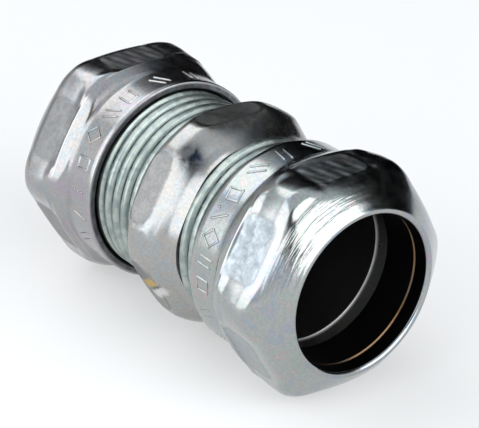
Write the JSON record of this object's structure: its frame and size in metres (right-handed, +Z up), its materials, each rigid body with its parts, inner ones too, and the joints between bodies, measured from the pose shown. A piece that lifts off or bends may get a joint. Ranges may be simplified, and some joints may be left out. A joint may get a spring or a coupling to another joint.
{
  "type": "conduit compression coupling",
  "caption": "Steel compression coupling for thin-wall electrical conduit: a threaded body with a wrench section, and a gland nut with a split gland ring on each end.",
  "frame": {"origin": "on the conduit axis at the middle of the conduit stop inside the body", "axes": "+X along the conduit axis towards the front nut, +Z up, with a wrench flat on top and one below"},
  "size_m": [0.0486, 0.0282, 0.026],
  "materials": {
    "body_steel": "zinc plated, slightly warm grey",
    "nut_steel": "zinc plated, bright, slightly iridescent",
    "ring_steel": "dark spring steel, thinly plated"
  },
  "bodies": {
    "body": {"coupling_body": "body_steel"},
    "front_ring": {"front_gland_ring": "ring_steel"},
    "front_nut": {"front_gland_nut": "nut_steel"},
    "rear_ring": {"rear_gland_ring": "ring_steel"},
    "rear_nut": {"rear_gland_nut": "nut_steel"}
  },
  "joints": [
    {"name": "front_ring_slide", "type": "slide", "parent": "body", "child": "front_ring", "axis": [1, 0, 0], "range_m": [-0.00066, 0.00556]},
    {"name": "front_nut_turn", "type": "hinge", "parent": "front_ring", "child": "front_nut", "pos_m": [0.015, 0, 0], "axis": [1, 0, 0], "range_deg": [-150, 1260]},
    {"name": "rear_ring_slide", "type": "slide", "parent": "body", "child": "rear_ring", "axis": [1, 0, 0], "range_m": [-0.00159, 0.00463]},
    {"name": "rear_nut_turn", "type": "hinge", "parent": "rear_ring", "child": "rear_nut", "pos_m": [-0.019, 0, 0], "axis": [1, 0, 0], "range_deg": [-360, 1050]}
  ],
  "couplings": [
    {"joint": "front_ring_slide", "follows": "front_nut_turn", "m_per_rad": 0.00025266},
    {"joint": "rear_ring_slide", "follows": "rear_nut_turn", "m_per_rad": 0.00025266}
  ]
}
